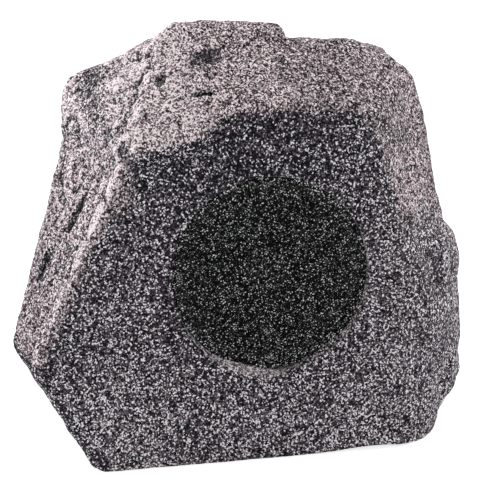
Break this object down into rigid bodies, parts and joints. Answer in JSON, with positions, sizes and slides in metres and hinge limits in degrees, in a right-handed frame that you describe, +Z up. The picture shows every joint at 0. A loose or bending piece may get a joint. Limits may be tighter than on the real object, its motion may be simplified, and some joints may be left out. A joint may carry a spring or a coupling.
{
  "type": "rock shaped garden loudspeaker",
  "caption": "Hollow artificial granite boulder with a round perforated grille in its front face, hiding a two-way loudspeaker for use in a garden.",
  "frame": {"origin": "on the ground, below the middle of the part's box", "axes": "+Z up, the grille looks along -Y, +X to the right of someone who looks at the grille"},
  "size_m": [0.4049, 0.3379, 0.3581],
  "materials": {
    "granite_coat": "moulded resin under a sprayed coat of dark, grey and white flecks",
    "grille_coat": "perforated steel under black paint with sprayed light flecks",
    "black_foam": "closed-cell foam",
    "zinc_steel": "zinc plated",
    "black_steel": "black powder coat",
    "black_rubber": "moulded rubber",
    "cone_plastic": "pressed polypropylene",
    "former_foil": "rolled foil",
    "copper_wire": "enamelled copper wire",
    "spider_cloth": "resin-dipped cloth",
    "ferrite": "ground ferrite",
    "black_plastic": "injection moulded",
    "dome_film": "formed film",
    "paper_board": "phenolic paper laminate",
    "tinned_brass": "tin plated",
    "white_ceramic": "cement filled ceramic",
    "green_plastic": "injection moulded",
    "blue_sleeve": "shrink sleeve",
    "black_nylon": "injection moulded nylon"
  },
  "bodies": {
    "housing": {"rock_shell": "granite_coat", "grille": "grille_coat", "driver_seal": "black_foam", "driver_screws": "zinc_steel", "basket": "black_steel", "surround": "black_rubber", "spider": "spider_cloth", "top_plate": "zinc_steel", "magnet": "ferrite", "yoke": "zinc_steel", "tweeter_post": "zinc_steel", "tweeter_body": "black_plastic", "tweeter_dome": "dome_film", "terminal_strip": "paper_board", "solder_tags": "tinned_brass", "base_plate": "black_plastic", "base_gasket": "black_foam", "base_screws": "zinc_steel", "feet": "black_rubber", "crossover_board": "paper_board", "board_screws": "zinc_steel", "choke_bobbin": "black_plastic", "choke_winding": "copper_wire", "resistor": "white_ceramic", "terminal_block": "green_plastic", "woofer_capacitor": "blue_sleeve", "tweeter_capacitor": "blue_sleeve", "gland_washer": "black_rubber", "gland_body": "black_nylon", "gland_cap": "black_nylon", "gland_seal": "black_rubber", "gland_nut": "black_nylon"},
    "diaphragm": {"cone": "cone_plastic", "former": "former_foil", "voice_coil": "copper_wire"}
  },
  "joints": [
    {"name": "cone_travel", "type": "slide", "parent": "housing", "child": "diaphragm", "axis": [0, -0.9962, 0.0872], "range_m": [-0.004, 0.004], "stiffness_N_per_m": 2000, "deforming": ["surround", "spider"]}
  ]
}
